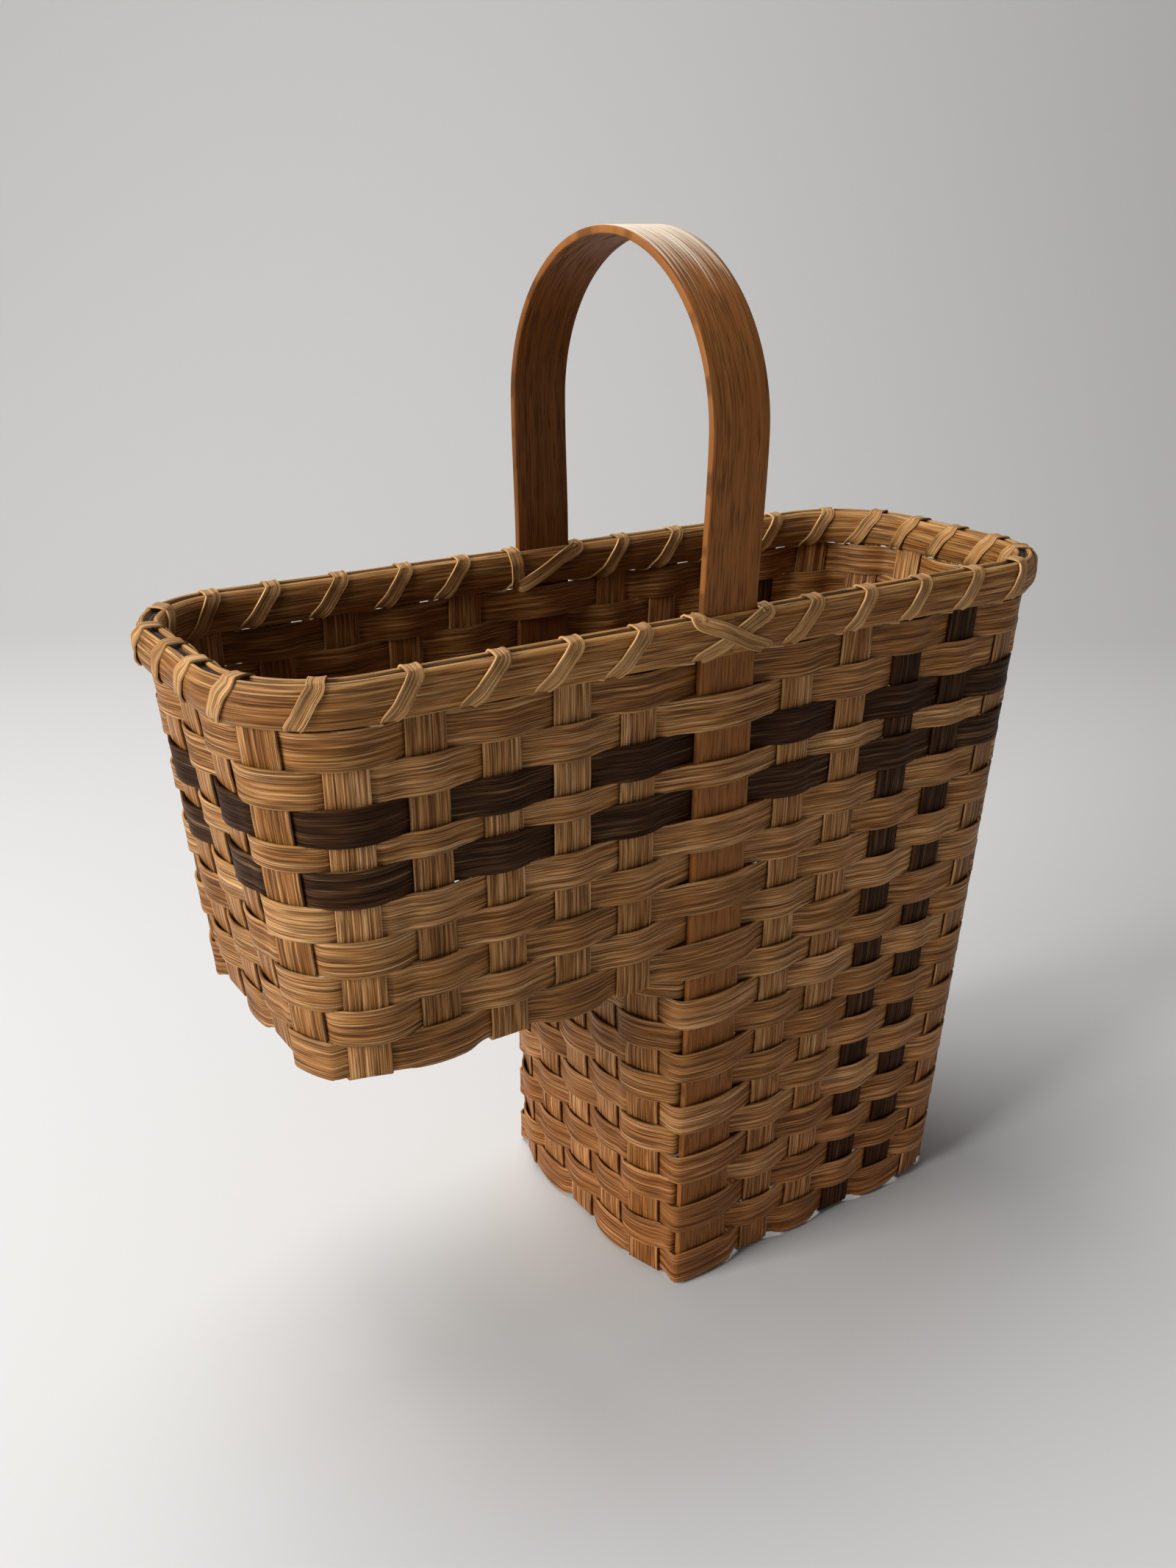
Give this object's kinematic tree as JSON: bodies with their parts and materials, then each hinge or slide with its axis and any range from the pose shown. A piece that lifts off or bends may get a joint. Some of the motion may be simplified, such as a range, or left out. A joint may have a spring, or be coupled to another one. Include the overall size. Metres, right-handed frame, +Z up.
{
  "type": "stair basket",
  "caption": "Woven splint basket shaped to sit across two stairs, with a deep leg, a shallow tray beside it and a round bentwood carrying handle.",
  "frame": {"origin": "centre of the basket's box, at the height of the surface that the leg stands on; it lies under the middle of the handle", "axes": "+Z up to the handle, -Y out of the front face, -X towards the end of the tray, +X towards the back of the leg"},
  "size_m": [0.4755, 0.1804, 0.5401],
  "materials": {
    "handle_oak": "oiled bent oak, satin",
    "honey_splint": "flat reed, honey brown, satin with fine fibres",
    "dyed_splint": "flat reed, dyed dark brown, satin",
    "rim_reed": "pale flat oval reed, satin",
    "rim_filler": "dark flat reed, matte",
    "lashing_splint": "pale narrow flat reed, satin"
  },
  "bodies": {
    "root": {"weaver_row_01": "honey_splint", "weaver_row_02": "honey_splint", "weaver_row_03": "dyed_splint", "weaver_row_04": "honey_splint", "weaver_row_05": "dyed_splint", "weaver_row_06": "honey_splint", "weaver_row_07": "honey_splint", "weaver_row_08": "honey_splint", "weaver_row_09": "honey_splint", "weaver_row_10": "honey_splint", "weaver_row_11": "honey_splint", "weaver_row_12": "honey_splint", "weaver_row_13": "honey_splint", "weaver_row_14": "honey_splint", "weaver_row_15": "honey_splint", "weaver_row_16": "honey_splint", "weaver_row_17": "honey_splint", "weaver_row_18": "honey_splint", "weaver_row_19": "honey_splint", "weaver_row_20": "honey_splint", "weaver_row_21": "honey_splint", "weaver_row_22": "honey_splint", "long_stake_1": "honey_splint", "long_stake_2": "honey_splint", "long_stake_3": "honey_splint", "long_stake_4": "honey_splint", "long_stake_5": "honey_splint", "tray_stake_1": "honey_splint", "tray_stake_2": "honey_splint", "tray_stake_3": "honey_splint", "tray_stake_4": "honey_splint", "tray_stake_5": "honey_splint", "leg_stake_1": "honey_splint", "leg_stake_2": "honey_splint", "leg_stake_3": "dyed_splint", "leg_stake_4": "dyed_splint", "leg_stake_5": "honey_splint", "handle_stake": "honey_splint", "handle": "handle_oak", "outer_rim": "rim_reed", "inner_rim": "rim_reed", "rim_filler_back": "rim_filler", "rim_filler_tray": "rim_filler", "rim_lashing": "lashing_splint"}
  },
  "joints": []
}
